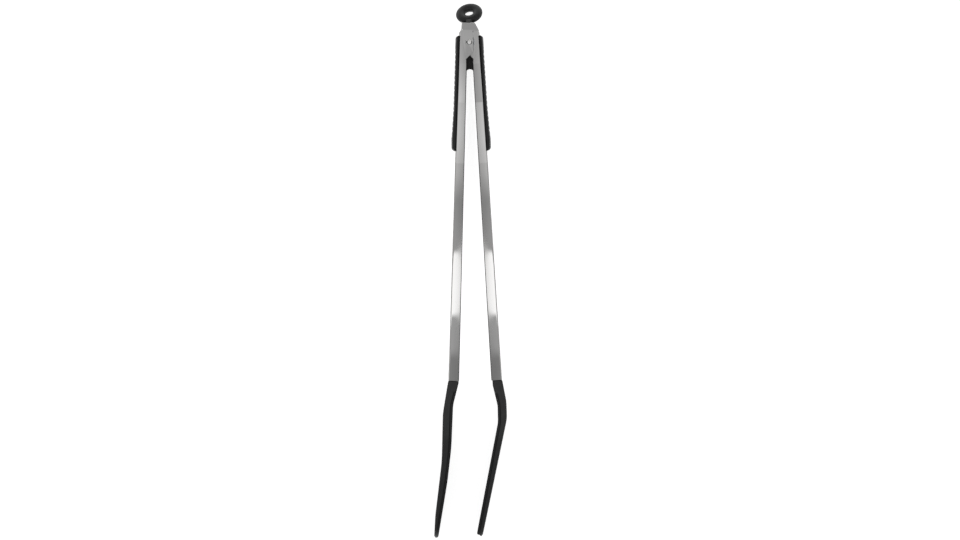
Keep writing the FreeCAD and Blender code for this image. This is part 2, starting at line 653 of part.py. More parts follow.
def make_spring(label, up):
    """Torsion spring round the rivet: a coil with a leg to each web. up is 1 in front, -1 behind."""
    wire = value("Sizes.wire_radius")
    radius = value("Sizes.coil_radius")
    pitch = value("Sizes.coil_pitch")
    turns = value("Sizes.coil_turns")
    low = value("(Sizes.slide_half + Sizes.wire_radius + 0.2)")
    helix = Part.makeHelix(pitch, pitch * turns, radius)
    helix.translate(Vector(0, 0, low))
    start = Vector(radius, 0, low)
    end = Vector(-radius, 0, low + pitch * turns)
    circle_wire = Part.Wire([Part.Circle(start, Vector(0, 1, 0), wire).toShape()])
    pieces = [Part.Wire(helix.Edges).makePipeShell([circle_wire], True, True)]
    lean_tangent = math.tan(math.radians(value("Sizes.rest_angle")))
    down = value("Sizes.leg_drop")
    reach = value(WEB_INSIDE) + down * lean_tangent - wire - value("Sizes.leg_play")
    for point in (start, end):
        foot = Vector(math.copysign(reach, point.x), -down, point.z)
        along = foot - point
        pieces.append(Part.makeCylinder(wire * 0.98, along.Length, point, along))
        pieces.append(Part.makeSphere(wire * 1.04, point))
    shape = pieces[0].fuse(pieces[1:])
    if up < 0:
        shape = shape.mirror(Vector(0, 0, 0), Vector(0, 0, 1))
    spring = doc.addObject("Part::Feature", label)
    spring.Label = label
    spring.Shape = shape
    return spring


# ---------------------------------------------------------------- lock
def make_slide():
    """Lock slide: an arched foot, a slot round the rivet, a wedge, and a fork for the ring."""
    body = new_body("lock_slide")
    half_plan = [
        ("Sizes.slide_body", "-Sizes.slide_foot", "0.8"),
        ("Sizes.slide_body", "-Sizes.wedge_foot - 3", "2"),
        ("Sizes.slide_wedge", "-Sizes.wedge_foot", "1"),
        ("Sizes.slide_wedge", "Sizes.wedge_top", "0.8"),
        ("Sizes.slide_stem", "Sizes.stem_foot", "1"),
        ("Sizes.slide_stem", "Sizes.ring_pin_place + Sizes.fork_eye", None),
    ]
    mirrored = [(f"-({x})", y, radius) for x, y, radius in reversed(half_plan)]
    plan = sketch_on(body, "plan", "XY_Plane")
    outline(plan, [("0", "-Sizes.slide_arch", "Sizes.arch_radius")] + half_plan + mirrored)
    pad(body, plan, "2 * Sizes.slide_half")
    slot = sketch_on(body, "slot", "XY_Plane")
    slot_low = f"-Sizes.slide_travel - {SLOT_HALF}"
    near_round = f"{SLOT_HALF} - {TOUCH}"
    outline(slot, [(f"-{SLOT_HALF}", slot_low, near_round), (SLOT_HALF, slot_low, near_round),
                   (SLOT_HALF, SLOT_HALF, near_round), (f"-{SLOT_HALF}", SLOT_HALF, near_round)])
    pocket(body, slot)
    fork = sketch_on(body, "fork", "XY_Plane")
    fork_end = f"Sizes.ring_pin_place + Sizes.fork_eye + {FAR_OVERRUN}"
    rectangle(fork, "-Sizes.fork_gap", "Sizes.fork_gap", "Sizes.fork_floor", fork_end)
    pocket(body, fork)
    round_fork(body)
    eye = sketch_on(body, "eye", "YZ_Plane")
    circle(eye, "Sizes.ring_pin_place", "0", "Sizes.ring_pin_radius + Sizes.ring_pin_fit")
    pocket(body, eye)
    return body


def round_fork(body):
    """Thin the fork's prongs to round eyes about the ring pin."""
    sketch = sketch_on(body, "prongs", "YZ_Plane")
    start = "Sizes.fork_floor - Sizes.fork_root"
    end = "Sizes.ring_pin_place + Sizes.fork_eye"
    far = f"{end} + {FAR_OVERRUN}"
    beside = f"Sizes.slide_half + {OVERRUN}"
    kept = [
        (start, beside, None),
        (start, "Sizes.slide_half - Sizes.fork_shoulder", "Sizes.fork_root"),
        ("Sizes.fork_floor + Sizes.fork_rise", "Sizes.fork_eye", "Sizes.fork_blend"),
        (end, "Sizes.fork_eye", f"Sizes.fork_eye - {TOUCH}"),
    ]
    mirrored = [(x, f"-({y})", radius) for x, y, radius in reversed(kept)]
    outline(sketch, kept + mirrored + [(far, f"-({beside})", None), (far, beside, None)])
    pocket(body, sketch)


def make_ring_pin():
    """Steel pin across the fork."""
    pin = doc.addObject("Part::Cylinder", "ring_pin")
    pin.Label = "ring_pin"
    pin.setExpression("Radius", "Sizes.ring_pin_radius")
    pin.setExpression("Height", "2 * Sizes.slide_stem - 0.1")
    end = Vector(-value("Sizes.slide_stem - 0.05"), value("Sizes.ring_pin_place"), 0)
    pin.Placement = FreeCAD.Placement(end, FreeCAD.Rotation(Vector(0, 1, 0), 90))
    return pin


def make_pull_ring():
    """Rubber pull ring with a tongue on the ring pin, drawn about the pin and hanging to one side."""
    body = new_body("pull_ring")
    section = sketch_on(body, "section", "XZ_Plane", offset="-Sizes.ring_reach")
    ellipse_section(section)
    revolve(body, section)
    tongue = sketch_on(body, "tongue", "YZ_Plane")
    tongue_end = "Sizes.ring_reach - Sizes.ring_line"
    round_end = f"Sizes.tongue_radius - {TOUCH}"
    outline(tongue, [("-Sizes.tongue_radius", "-Sizes.tongue_radius", round_end),
                     (tongue_end, "-Sizes.tongue_radius", None),
                     (tongue_end, "Sizes.tongue_radius", None),
                     ("-Sizes.tongue_radius", "Sizes.tongue_radius", round_end)])
    pad(body, tongue, "2 * Sizes.ring_tongue")
    for name, across in (("left_relief", -1), ("right_relief", 1)):
        relief = sketch_on(body, name, "YZ_Plane", offset=f"{across} * (Sizes.ring_tongue + 3)")
        circle(relief, "0", "0", "Sizes.ring_relief")
        pocket(body, relief, "6")
    eye = sketch_on(body, "eye", "YZ_Plane")
    circle(eye, "0", "0", "Sizes.ring_eye")
    pocket(body, eye, "4 * Sizes.ring_tongue")
    hole = sketch_on(body, "hole", "XY_Plane")
    circle(hole, "0", "Sizes.ring_reach", "Sizes.ring_hole")
    pocket(body, hole)
    droop = FreeCAD.Rotation(Vector(1, 0, 0), -value("Sizes.ring_droop"))
    yaw = FreeCAD.Rotation(Vector(0, 0, 1), value("Sizes.ring_yaw"))
    roll = FreeCAD.Rotation(Vector(0, 0, 1), -value("Sizes.ring_roll"))
    body.Placement = FreeCAD.Placement(Vector(0, value("Sizes.ring_pin_place"), 0), yaw * droop * roll)
    return body


def ellipse_section(sketch):
    """Ellipse beside the sketch's upright axis, with both half axes bound."""
    line = value("Sizes.ring_line")
    wide = value("Sizes.ring_wide")
    thick = value("Sizes.ring_thick")
    centre = Vector(line, 0, 0)
    shape = Part.Ellipse(Vector(line + wide, 0, 0), Vector(line, thick, 0), centre)
    ellipse = sketch.addGeometry(shape, False)
    sketch.exposeInternalGeometry(ellipse)
    bind(sketch, Sketcher.Constraint("DistanceX", -1, 1, ellipse, 3, line), "Sizes.ring_line")
    sketch.addConstraint(Sketcher.Constraint("PointOnObject", ellipse, 3, -1))
    major = ellipse + 1
    minor = ellipse + 2
    sketch.addConstraint(Sketcher.Constraint("Horizontal", major))
    bind(sketch, Sketcher.Constraint("Distance", major, 2 * wide), "2 * Sizes.ring_wide")
    bind(sketch, Sketcher.Constraint("Distance", minor, 2 * thick), "2 * Sizes.ring_thick")


# ---------------------------------------------------------------- assembly
def settle(pieces):
    """Move every piece so that the origin is below the middle of them all, on the lying surface."""
    box = FreeCAD.BoundBox()
    for piece in pieces:
        box.add(piece.Shape.optimalBoundingBox(False))
    shift = Vector(-box.Center.x, -box.Center.y, -box.ZMin)
    for piece in pieces:
        piece.Placement.Base = piece.Placement.Base + shift
    doc.recompute()
    print("pivot", [round(number, 4) for number in shift])
    print("size", round(box.XLength, 3), round(box.YLength, 3), round(box.ZLength, 3))


def check(pieces):
    """Refuse a document with a failed object or a sub-part without a sound shape."""
    for item in doc.Objects:
        if "Invalid" in item.State or "Error" in item.State:
            raise RuntimeError(f"{item.Label} failed: {item.State}")
    for piece in pieces:
        if piece.Shape.isNull() or not piece.Shape.isValid() or piece.Shape.Volume <= 0:
            raise RuntimeError(f"{piece.Label} has no sound shape")


def main():
    """Build, place, check and write every sub-part."""
    fill_sheet()
    pieces = [make_rivet()] + make_washers()
    pieces += [make_spring("front_spring", 1), make_spring("back_spring", -1)]
    pieces += [make_slide(), make_ring_pin(), make_pull_ring()]
    for side in (LEFT, RIGHT):
        pieces += [make_channel(side), make_grip(side), make_carrier(side)]
        pieces += [make_head_shell(side), make_head_pad(side), make_head_rivets(side)]
    settle(pieces)
    check(pieces)
    os.makedirs("parts", exist_ok=True)
    for piece in pieces:
        piece.Shape.exportStep(os.path.join("parts", f"{piece.Label}.step"))
        solids = len(piece.Shape.Solids)
        print(piece.Label, "solids", solids, "volume", round(piece.Shape.Volume, 1))


main()
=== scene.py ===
# %% [markdown]
# # Spring-loaded kitchen tongs
# The finished look of a pair of long kitchen tongs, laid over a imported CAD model. The CAD model says
# where everything is and how it moves. This lesson reads places and sizes from it, lays smooth
# surfaces over its plain solids, and gives every piece a finish of its own.

# %% Load the frame
import json
import math

import bmesh
import bpy
import numpy as np
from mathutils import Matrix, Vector
from mathutils.bvhtree import BVHTree


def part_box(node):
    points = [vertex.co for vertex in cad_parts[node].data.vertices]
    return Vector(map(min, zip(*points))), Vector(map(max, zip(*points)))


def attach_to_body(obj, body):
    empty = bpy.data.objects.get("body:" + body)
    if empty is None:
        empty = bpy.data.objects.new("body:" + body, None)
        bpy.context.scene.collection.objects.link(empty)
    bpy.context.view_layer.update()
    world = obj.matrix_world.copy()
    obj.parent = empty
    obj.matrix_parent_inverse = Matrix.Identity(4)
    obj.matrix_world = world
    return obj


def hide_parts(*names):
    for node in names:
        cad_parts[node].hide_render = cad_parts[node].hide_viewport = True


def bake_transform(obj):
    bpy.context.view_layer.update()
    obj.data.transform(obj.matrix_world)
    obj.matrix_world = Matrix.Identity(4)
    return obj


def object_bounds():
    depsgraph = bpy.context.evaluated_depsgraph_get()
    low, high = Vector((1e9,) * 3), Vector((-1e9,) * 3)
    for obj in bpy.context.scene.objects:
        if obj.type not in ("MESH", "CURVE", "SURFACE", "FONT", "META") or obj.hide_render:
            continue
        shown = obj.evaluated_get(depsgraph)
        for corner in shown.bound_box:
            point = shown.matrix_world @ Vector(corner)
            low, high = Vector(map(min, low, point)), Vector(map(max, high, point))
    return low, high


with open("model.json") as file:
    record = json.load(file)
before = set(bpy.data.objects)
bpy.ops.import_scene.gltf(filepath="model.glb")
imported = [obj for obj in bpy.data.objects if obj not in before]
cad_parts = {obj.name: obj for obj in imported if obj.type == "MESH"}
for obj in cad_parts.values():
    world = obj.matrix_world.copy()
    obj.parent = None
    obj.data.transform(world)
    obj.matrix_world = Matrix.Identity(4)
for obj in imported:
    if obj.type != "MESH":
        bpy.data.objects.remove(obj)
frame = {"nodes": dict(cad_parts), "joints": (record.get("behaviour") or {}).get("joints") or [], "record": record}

CAD_BOX = [list(corner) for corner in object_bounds()]
NODES = frame["nodes"]
RECORD = frame["record"]
JOINTS = {joint["name"]: joint for joint in frame["joints"]}
MOUNTS = {mount["name"]: mount for mount in RECORD["mounts"]}
MM = 0.001
SIDES = {"left": -1.0, "right": 1.0}
print("frame", len(NODES), "nodes, box", CAD_BOX)

# %% [markdown]
# ## Where things are
# Both arms turn about one rivet. An arm is straight, so a place on it is easiest to say as a distance
# down the arm, a distance out from its middle line and a height. The lean of an arm is read from its
# two head rivets, which sit one behind the other along the web.

# %% The pivot and the arms' own axes
PIVOT = np.array(JOINTS["left_arm_closing"]["pos_m"])


def node_points(name):
    """All vertices of a CAD node, as an array of rows."""
    mesh = NODES[name].data
    points = np.empty(len(mesh.vertices) * 3)
    mesh.vertices.foreach_get("co", points)
    return points.reshape(-1, 3)


def arm_direction(side):
    """Unit vector down the arm: from the upper head rivet to the lower one."""
    points = node_points(f"{side}_head_rivets")
    middle = (points[:, 1].min() + points[:, 1].max()) / 2
    upper = points[points[:, 1] > middle]
    lower = points[points[:, 1] <= middle]
    step = (lower.min(0) + lower.max(0)) / 2 - (upper.min(0) + upper.max(0)) / 2
    step[2] = 0
    return step / np.linalg.norm(step)


DOWN = {side: arm_direction(side) for side in SIDES}
OUT = {side: np.array([-DOWN[side][1] * sign, DOWN[side][0] * sign, 0.0]) for side, sign in SIDES.items()}
LEAN = {side: math.atan2(DOWN[side][0], -DOWN[side][1]) for side in SIDES}
print("lean in degrees", {side: round(math.degrees(angle), 3) for side, angle in LEAN.items()})


def to_row(side, down, out, height):
    """Places in the row frame: pivot + down along the arm + out from its middle + height above the pivot."""
    down, out, height = np.broadcast_arrays(down, out, height)
    return (PIVOT + down[..., None] * DOWN[side] + out[..., None] * OUT[side]
            + height[..., None] * np.array([0.0, 0.0, 1.0]))


def to_arm(side, points):
    """The same places in the arm's own terms: columns down, out and height."""
    relative = points - PIVOT
    return np.stack([relative @ DOWN[side], relative @ OUT[side], relative[:, 2]], axis=1)


# %% [markdown]
# ## Reading a CAD face
# A finished surface has to lie where the CAD solid's surface lies. Rays are cast at the solid from
# outside, and the places where they land become the guide curves of the new surface. That needs no
# list of numbers, and it follows the CAD model if a size changes.

# %% Probes
FAR = 0.2


def tree_of(name):
    """Search tree of a CAD node's triangles."""
    mesh = NODES[name].data
    return BVHTree.FromPolygons([v.co.copy() for v in mesh.vertices], [p.vertices[:] for p in mesh.polygons])


def probe(side, name, downs, way, height=0.0):
    """How far out from the arm's middle rays across the arm first meet a node; way +1 comes from outside."""
    tree = tree_of(name)
    found = np.full(len(downs), np.nan)
    for index, down in enumerate(downs):
        start = to_row(side, np.array(down), np.array(way * FAR), np.array(height))
        hit = tree.ray_cast(Vector(start), Vector(OUT[side] * -way))[0]
        if hit is not None:
            found[index] = (np.array(hit) - PIVOT) @ OUT[side]
    return filled(found)


def probe_top(side, name, downs, outs):
    """Height above the pivot where rays from above meet a node."""
    tree = tree_of(name)
    found = np.full(len(downs), np.nan)
    for index, (down, out) in enumerate(zip(downs, outs)):
        start = to_row(side, np.array(down), np.array(out), np.array(FAR))
        hit = tree.ray_cast(Vector(start), Vector((0, 0, -1)))[0]
        if hit is not None:
            found[index] = hit[2] - PIVOT[2]
    return filled(found)


def filled(values):
    """Missed rays take the value between their neighbours."""
    good = np.isfinite(values)
    places = np.arange(len(values))
    return np.interp(places, places[good], values[good])


# %% [markdown]
# ## Meshes from grids
# Nearly every new piece is a closed loop carried along a path: a grid whose one direction goes round
# the section and whose other direction goes along the piece. One function turns such a grid into a
# mesh and closes both ends with a fan.

# %% Grid to mesh
def mesh_object(name, points, faces):
    """New object at the origin from vertices and faces, shaded smooth."""
    mesh = bpy.data.meshes.new(name)
    mesh.from_pydata(points.reshape(-1, 3).tolist(), [], faces)
    mesh.polygons.foreach_set("use_smooth", np.ones(len(mesh.polygons), dtype=bool))
    mesh.update()
    piece = bpy.data.objects.new(name, mesh)
    bpy.context.scene.collection.objects.link(piece)
    return piece


def grid_faces(rows, columns, offset=0, wrap_rows=False):
    """Quads of a grid whose columns close into a loop; its rows may close too."""
    last = rows if wrap_rows else rows - 1
    row, column = np.meshgrid(np.arange(last), np.arange(columns), indexing="ij")
    following = (row + 1) % rows
    beside = (column + 1) % columns
    quads = np.stack([row * columns + column, row * columns + beside,
                      following * columns + beside, following * columns + column], axis=-1)
    return (quads.reshape(-1, 4) + offset).tolist()


def tube(name, rings):
    """Closed skin over rings of points, array (rings, points, 3), with a fan over each end."""
    rows, columns = rings.shape[:2]
    faces = grid_faces(rows, columns)
    first_hub = rows * columns
    ends = np.stack([rings[0].mean(0), rings[-1].mean(0)])
    around = np.arange(columns)
    beside = (around + 1) % columns
    last_row = (rows - 1) * columns
    for hub, first, second in ((first_hub, beside, around),
                               (first_hub + 1, last_row + around, last_row + beside)):
        faces += np.stack([np.full(columns, hub), first, second], axis=1).tolist()
    piece = mesh_object(name, np.concatenate([rings.reshape(-1, 3), ends]), faces)
    point_outwards(piece)
    return piece


def signed_volume(mesh):
    """Volume by the divergence theorem: negative where the faces point inwards."""
    mesh.calc_loop_triangles()
    corners = np.empty(len(mesh.loop_triangles) * 3, dtype=np.int64)
    mesh.loop_triangles.foreach_get("vertices", corners)
    points = np.empty(len(mesh.vertices) * 3)
    mesh.vertices.foreach_get("co", points)
    a, b, c = points.reshape(-1, 3)[corners.reshape(-1, 3)].transpose(1, 0, 2)
    return float(np.einsum("ij,ij->i", a, np.cross(b, c)).sum() / 6)


def point_outwards(piece):
    """Turn the faces over if they enclose a negative volume."""
    if signed_volume(piece.data) < 0:
        piece.data.flip_normals()


def applied(piece):
    """Keep what a piece's modifiers make as its own mesh."""
    depsgraph = bpy.context.evaluated_depsgraph_get()
    finished = bpy.data.meshes.new_from_object(piece.evaluated_get(depsgraph))
    piece.modifiers.clear()
    piece.data = finished
    finished.name = piece.name
    return finished


FLANGE_BORDER = 6.0 * MM
FLAT_AREA = 12.0 * MM * MM
WELD_DISTANCE = 0.002 * MM
FLAT_ANGLE = math.radians(0.4)
SHARP_ANGLE = math.radians(35.0)
BEVEL_SEGMENTS = 3
FACES_UP = 0.9
FACES_IN = 0.8


def weigh_edges(mesh, width, rolled, side):
    """Bevel weight of each sharp edge: 1 on the outer border of a flange, width / rolled elsewhere."""
    inward = Vector(-OUT[side]) if side else None
    shape = bmesh.new()
    shape.from_mesh(mesh)
    weights = shape.edges.layers.float.new("bevel_weight_edge")
    for edge in shape.edges:
        if len(edge.link_faces) != 2 or edge.calc_face_angle(0.0) < SHARP_ANGLE:
            continue
        normals = [face.normal for face in edge.link_faces]
        away = math.copysign(1.0, edge.verts[0].co.z - PIVOT[2])
        level = any(normal.z * away > FACES_UP for normal in normals)
        cut = side and any(normal.dot(inward) > FACES_IN for normal in normals)
        edge[weights] = 1.0 if level and cut else width / rolled
    shape.to_mesh(mesh)
    shape.free()


def dressed(node, width, rolled=None, side=None):
    """Copy of a CAD node, its loose triangles joined and its sharp edges rounded; it replaces the node."""
    mesh = NODES[node].data.copy()
    mesh.materials.clear()
    piece = bpy.data.objects.new(f"{node}_finished", mesh)
    bpy.context.scene.collection.objects.link(piece)
    weld = piece.modifiers.new("weld", "WELD")
    weld.merge_threshold = WELD_DISTANCE
    flat = piece.modifiers.new("flat_faces", "DECIMATE")
    flat.decimate_type = "DISSOLVE"
    flat.angle_limit = FLAT_ANGLE
    weigh_edges(applied(piece), width, rolled or width, side)
    rounding = piece.modifiers.new("rounded_edges", "BEVEL")
    rounding.width = rolled or width
    rounding.segments = BEVEL_SEGMENTS
    rounding.limit_method = "WEIGHT"
    rounding.use_clamp_overlap = False
    faces = applied(piece).polygons
    areas = np.empty(len(faces))
    faces.foreach_get("area", areas)
    faces.foreach_set("use_smooth", areas < FLAT_AREA)
    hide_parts(node)
    return piece


def mark_painted_edge_shade(piece, side):
    """Attribute cut_edge: mask of painted shade, 1 where the skin turns inwards along a flange's border, 0
    elsewhere; the colour there is painted dark in place of a dark reflection.
    """
    mesh = piece.data
    points = np.empty(len(mesh.vertices) * 3)
    mesh.vertices.foreach_get("co", points)
    normals = np.empty(len(mesh.vertices) * 3)
    mesh.vertices.foreach_get("normal", normals)
    local = to_arm(side, points.reshape(-1, 3))
    inward = normals.reshape(-1, 3) @ -OUT[side]
    border = (local[:, 1] < FLANGE_BORDER) & (local[:, 0] > 0)
    # Painted shade: where the skin turns inwards along a flange's border, the colour is painted dark in place of a
    # dark reflection.
    shade = np.where(border, np.clip(inward / 0.5, 0, 1), 0)
    mark = mesh.attributes.new("cut_edge", "FLOAT", "POINT")
    mark.data.foreach_set("value", shade.astype(np.float32))
    return piece


BODY_OF = {node: body for body, nodes in RECORD["behaviour"]["bodies"].items() for node in nodes}


def attach(piece, node, material):
    """Give a piece its finish and the body of the CAD node that it belongs to."""
    piece.data.materials.clear()
    piece.data.materials.append(material)
    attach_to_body(piece, BODY_OF[node])
    return piece


# %% [markdown]
# ## Shader maths
# A finish is a small sum over noise patterns. Written as node links, that sum is hard to read, so a
# thin class lets a socket be added and multiplied like a number.

# %% A socket that can be added up
class Value:
    """A node's output that takes part in Python arithmetic; each operation adds one Math node."""

    def __init__(self, finish, socket):
        self.finish = finish
        self.socket = socket

    def math(self, operation, first, second):
        return self.finish.node("ShaderNodeMath", {"operation": operation}, {0: first, 1: second}).out(0)

    def __add__(self, other):
        return self.math("ADD", self, other)

    def __sub__(self, other):
        return self.math("SUBTRACT", self, other)

    def __rsub__(self, other):
        return self.math("SUBTRACT", other, self)

    def __mul__(self, other):
        return self.math("MULTIPLY", self, other)

    __radd__ = __add__
    __rmul__ = __mul__


class Step:
    """One node of a finish, with its outputs as values."""

    def __init__(self, finish, node):
        self.finish = finish
        self.node = node

    def out(self, key):
        return Value(self.finish, self.node.outputs[key])


class Finish:
    """A material being written: node() adds any node from its type, settings and inputs."""

    def __init__(self, name):
        self.material = bpy.data.materials.new(name)
        self.material.use_nodes = True
        self.tree = self.material.node_tree
        self.tree.nodes.clear()

    def node(self, kind, settings, inputs):
        made = self.tree.nodes.new(kind)
        for key, setting in settings.items():
            setattr(made, key, setting)
        for key, source in inputs.items():
            if isinstance(source, Value):
                self.tree.links.new(source.socket, made.inputs[key])
            else:
                made.inputs[key].default_value = source
        return Step(self, made)

    def place(self, scale, turn=0.0):
        """Object coordinates, turned about the upright axis and stretched."""
        source = self.node("ShaderNodeTexCoord", {}, {}).out("Object")
        turned = self.node("ShaderNodeMapping", {}, {"Vector": source, "Rotation": (0, 0, turn)}).out(0)
        return self.node("ShaderNodeMapping", {}, {"Vector": turned, "Scale": scale}).out(0)

    def noise(self, scale, detail=3.0, turn=0.0, roughness=0.5):
        """Cloudy pattern from 0 to 1; scale is features per metre along each axis."""
        place = self.place(scale, turn)
        return self.node("ShaderNodeTexNoise", {}, {"Vector": place, "Scale": 1.0, "Detail": detail,
                                                    "Roughness": roughness}).out(0)

    def between(self, value, low, high):
        """Smooth step of a value from 0 at low to 1 at high."""
        return self.node("ShaderNodeMapRange", {"interpolation_type": "SMOOTHSTEP"},
                         {"Value": value, "From Min": low, "From Max": high}).out(0)

    def mix(self, factor, first, second):
        """Colour between two colours."""
        inputs = {0: factor, 6: first, 7: second}
        return self.node("ShaderNodeMix", {"data_type": "RGBA"}, inputs).out(2)

    def surface(self, sockets, height, depth):
        """Principled shader with a bump from the height pattern; depth is in metres."""
        bump = self.node("ShaderNodeBump", {}, {"Height": height, "Distance": depth, "Strength": 1.0}).out(0)
        shader = self.node("ShaderNodeBsdfPrincipled", {}, dict(sockets, Normal=bump)).out(0)
        self.node("ShaderNodeOutputMaterial", {}, {"Surface": shader})
        return self.material


def grey(level, warmth=0.0):
    """Opaque colour of a level, a little warm or cool."""
    return (level * (1 + warmth), level, level * (1 - warmth), 1.0)


# %% [markdown]
# ## Finishes
# The arms are brushed along their length: a noise stretched a hundred times along the arm gives the
# grain, and a slow cloudy noise gives the smudges of handling. The grain has to turn with each arm's
# lean, so each arm has its own copy. Where the sheet was cut and rolled over it is duller, and its colour there is
# painted nearly black, a painted dark reflection.

# %% Brushed steel
STEEL_LEVEL = 0.64
STEEL_ROUGHNESS = 0.012
GRAIN_DEPTH = 0.0000025
# Colour of the painted shade on the rolled flange edges, which stands in for a dark reflection.
PAINTED_EDGE_SHADE_LEVEL = 0.05


def brushed_steel(name, turn):
    """Metal = base grey less smudges, painted nearly black on the rolled edges as a painted dark reflection;
    roughness = base + grain + smudges + rougher sheared edge; bump = grain.
    """
    finish = Finish(name)
    grain = finish.noise((5200.0, 38.0, 5200.0), 4.0, turn, 0.6)
    streak = finish.noise((900.0, 9.0, 900.0), 2.0, turn)
    smudge = finish.between(finish.noise((26.0, 17.0, 26.0), 4.0, turn), 0.42, 0.74)
    edge = finish.node("ShaderNodeAttribute", {"attribute_name": "cut_edge"}, {}).out("Fac")
    tone = finish.mix(smudge * 0.6 + streak * 0.3, grey(STEEL_LEVEL, 0.006), grey(STEEL_LEVEL * 0.9, 0.012))
    # Painted shade: the rolled flange edges are coloured nearly black, a painted dark reflection; the roughness
    # below rises there as on a sheared edge.
    tone = finish.mix(edge, tone, grey(PAINTED_EDGE_SHADE_LEVEL))
    roughness = STEEL_ROUGHNESS + grain * 0.006 + smudge * 0.012 + streak * 0.004 + edge * 0.3
    return finish.surface({"Base Color": tone, "Metallic": 1.0, "Roughness": roughness}, grain,
                          GRAIN_DEPTH)


# %% [markdown]
# Polished hardware has a fine random texture rather than straight grain, and small parts catch a little
# tarnish. Moulded nylon has a fine spark-eroded texture. Rubber and silicone are softer: more
# roughness, a slight sheen of dust, and faint wear.

# %% Hardware, nylon, rubber
def polished_steel(name, level, rough):
    """Metal with a fine random texture and cloudy tarnish."""
    finish = Finish(name)
    fine = finish.noise((3000.0, 3000.0, 3000.0), 3.0)
    tarnish = finish.between(finish.noise((240.0, 240.0, 240.0), 3.0), 0.45, 0.7)
    tone = finish.mix(tarnish, grey(level, 0.005), grey(level * 0.82, 0.02))
    return finish.surface({"Base Color": tone, "Metallic": 1.0,
                           "Roughness": rough + fine * 0.06 + tarnish * 0.08}, fine, 0.000002)


def moulded(name, level, rough, texture, depth, coat=0.0):
    """Moulded plastic: fine texture in the bump, slow flow marks in colour and roughness, rubbed spots."""
    finish = Finish(name)
    fine = finish.noise((texture, texture, texture), 2.0)
    flow = finish.noise((60.0, 22.0, 60.0), 3.0)
    rub = finish.between(finish.noise((130.0, 130.0, 130.0), 5.0, 0.0, 0.65), 0.52, 0.75)
    tone = finish.mix(flow * 0.5 + rub * 0.5, grey(level, -0.02), grey(level * 1.45, -0.015))
    roughness = rough + flow * 0.06 - rub * 0.07 + fine * 0.04
    sockets = {"Base Color": tone, "Roughness": roughness, "Coat Weight": coat, "Coat Roughness": 0.25,
               "Specular IOR Level": 0.4}
    return finish.surface(sockets, fine + rub * 0.25, depth)


def soft_rubber(name, level, rough, texture, depth, sheen):
    """Rubber: stippled bump, cloudy wear that is lighter and smoother, a weak sheen all over."""
    finish = Finish(name)
    stipple = finish.noise((texture, texture, texture), 2.0)
    cloud = finish.noise((45.0, 45.0, 45.0), 4.0)
    wear = finish.between(finish.noise((210.0, 70.0, 210.0), 5.0, 0.0, 0.6), 0.5, 0.78)
    tone = finish.mix(cloud * 0.4 + wear * 0.6, grey(level, -0.03), grey(level * 1.7, -0.02))
    roughness = rough + cloud * 0.08 - wear * 0.1
    sockets = {"Base Color": tone, "Roughness": roughness, "Sheen Weight": sheen, "Sheen Roughness": 0.45,
               "Specular IOR Level": 0.35}
    return finish.surface(sockets, stipple + wear * 0.2, depth)


STEEL = {side: brushed_steel(f"brushed_steel_{side}", -LEAN[side]) for side in SIDES}
RIVET_STEEL = polished_steel("rivet_steel", 0.88, 0.08)
SPRING_STEEL = polished_steel("spring_wire", 0.42, 0.28)
GRIP_RUBBER = soft_rubber("grip_rubber", 0.010, 0.5, 2400.0, 0.00004, 0.02)
RING_RUBBER = soft_rubber("ring_rubber", 0.012, 0.42, 2100.0, 0.00003, 0.02)
PAD_SILICONE = soft_rubber("pad_silicone", 0.008, 0.40, 1800.0, 0.00002, 0.02)
SHELL_NYLON = moulded("shell_nylon", 0.020, 0.34, 1500.0, 0.00003)
LOCK_NYLON = moulded("lock_nylon", 0.004, 0.45, 2000.0, 0.00002)
WASHER_NYLON = moulded("washer_nylon", 0.55, 0.45, 2500.0, 0.00001)
print("finishes", len(bpy.data.materials))

# %% [markdown]
# ## The steel arms and the hardware
# The folded channels, the rivets and the lock slide already have their true shape in CAD. What CAD
# leaves out is the small radius that every real edge has, and that radius is what catches the light.
# Each piece is a copy of the CAD mesh, joined into one skin, with its edges rounded.

# %% Arms, rivets, washers, lock
for side in SIDES:
    channel = dressed(f"{side}_arm_channel", 0.16 * MM, 0.7 * MM, side)
    # The channel carries the mask of the painted shade along its rolled flange edges.
    attach(mark_painted_edge_shade(channel, side), f"{side}_arm_channel", STEEL[side])
    attach(dressed(f"{side}_head_rivets", 0.05 * MM), f"{side}_head_rivets", RIVET_STEEL)
    attach(dressed(f"{side}_grip_carrier", 0.15 * MM), f"{side}_grip_carrier", LOCK_NYLON)
attach(dressed("pivot_rivet", 0.06 * MM), "pivot_rivet", RIVET_STEEL)
attach(dressed("rivet_washer", 0.08 * MM), "rivet_washer", RIVET_STEEL)
attach(dressed("ring_pin", 0.15 * MM), "ring_pin", RIVET_STEEL)
attach(dressed("front_washer", 0.06 * MM), "front_washer", WASHER_NYLON)
attach(dressed("back_washer", 0.06 * MM), "back_washer", WASHER_NYLON)
attach(dressed("lock_slide", 0.3 * MM), "lock_slide", LOCK_NYLON)

# %% [markdown]
# ## Sections
# Grips, heads and pads share one kind of section: a box with rounded corners, whose two wide faces
# may be dished or ribbed. The section is worked out once in a unit form: how far along each face a
# point is, and how much of each corner's radius it takes.

# %% A rounded box section
CORNER_STEPS = 5
FACE_STEPS = 28
RIM_STEPS = 3


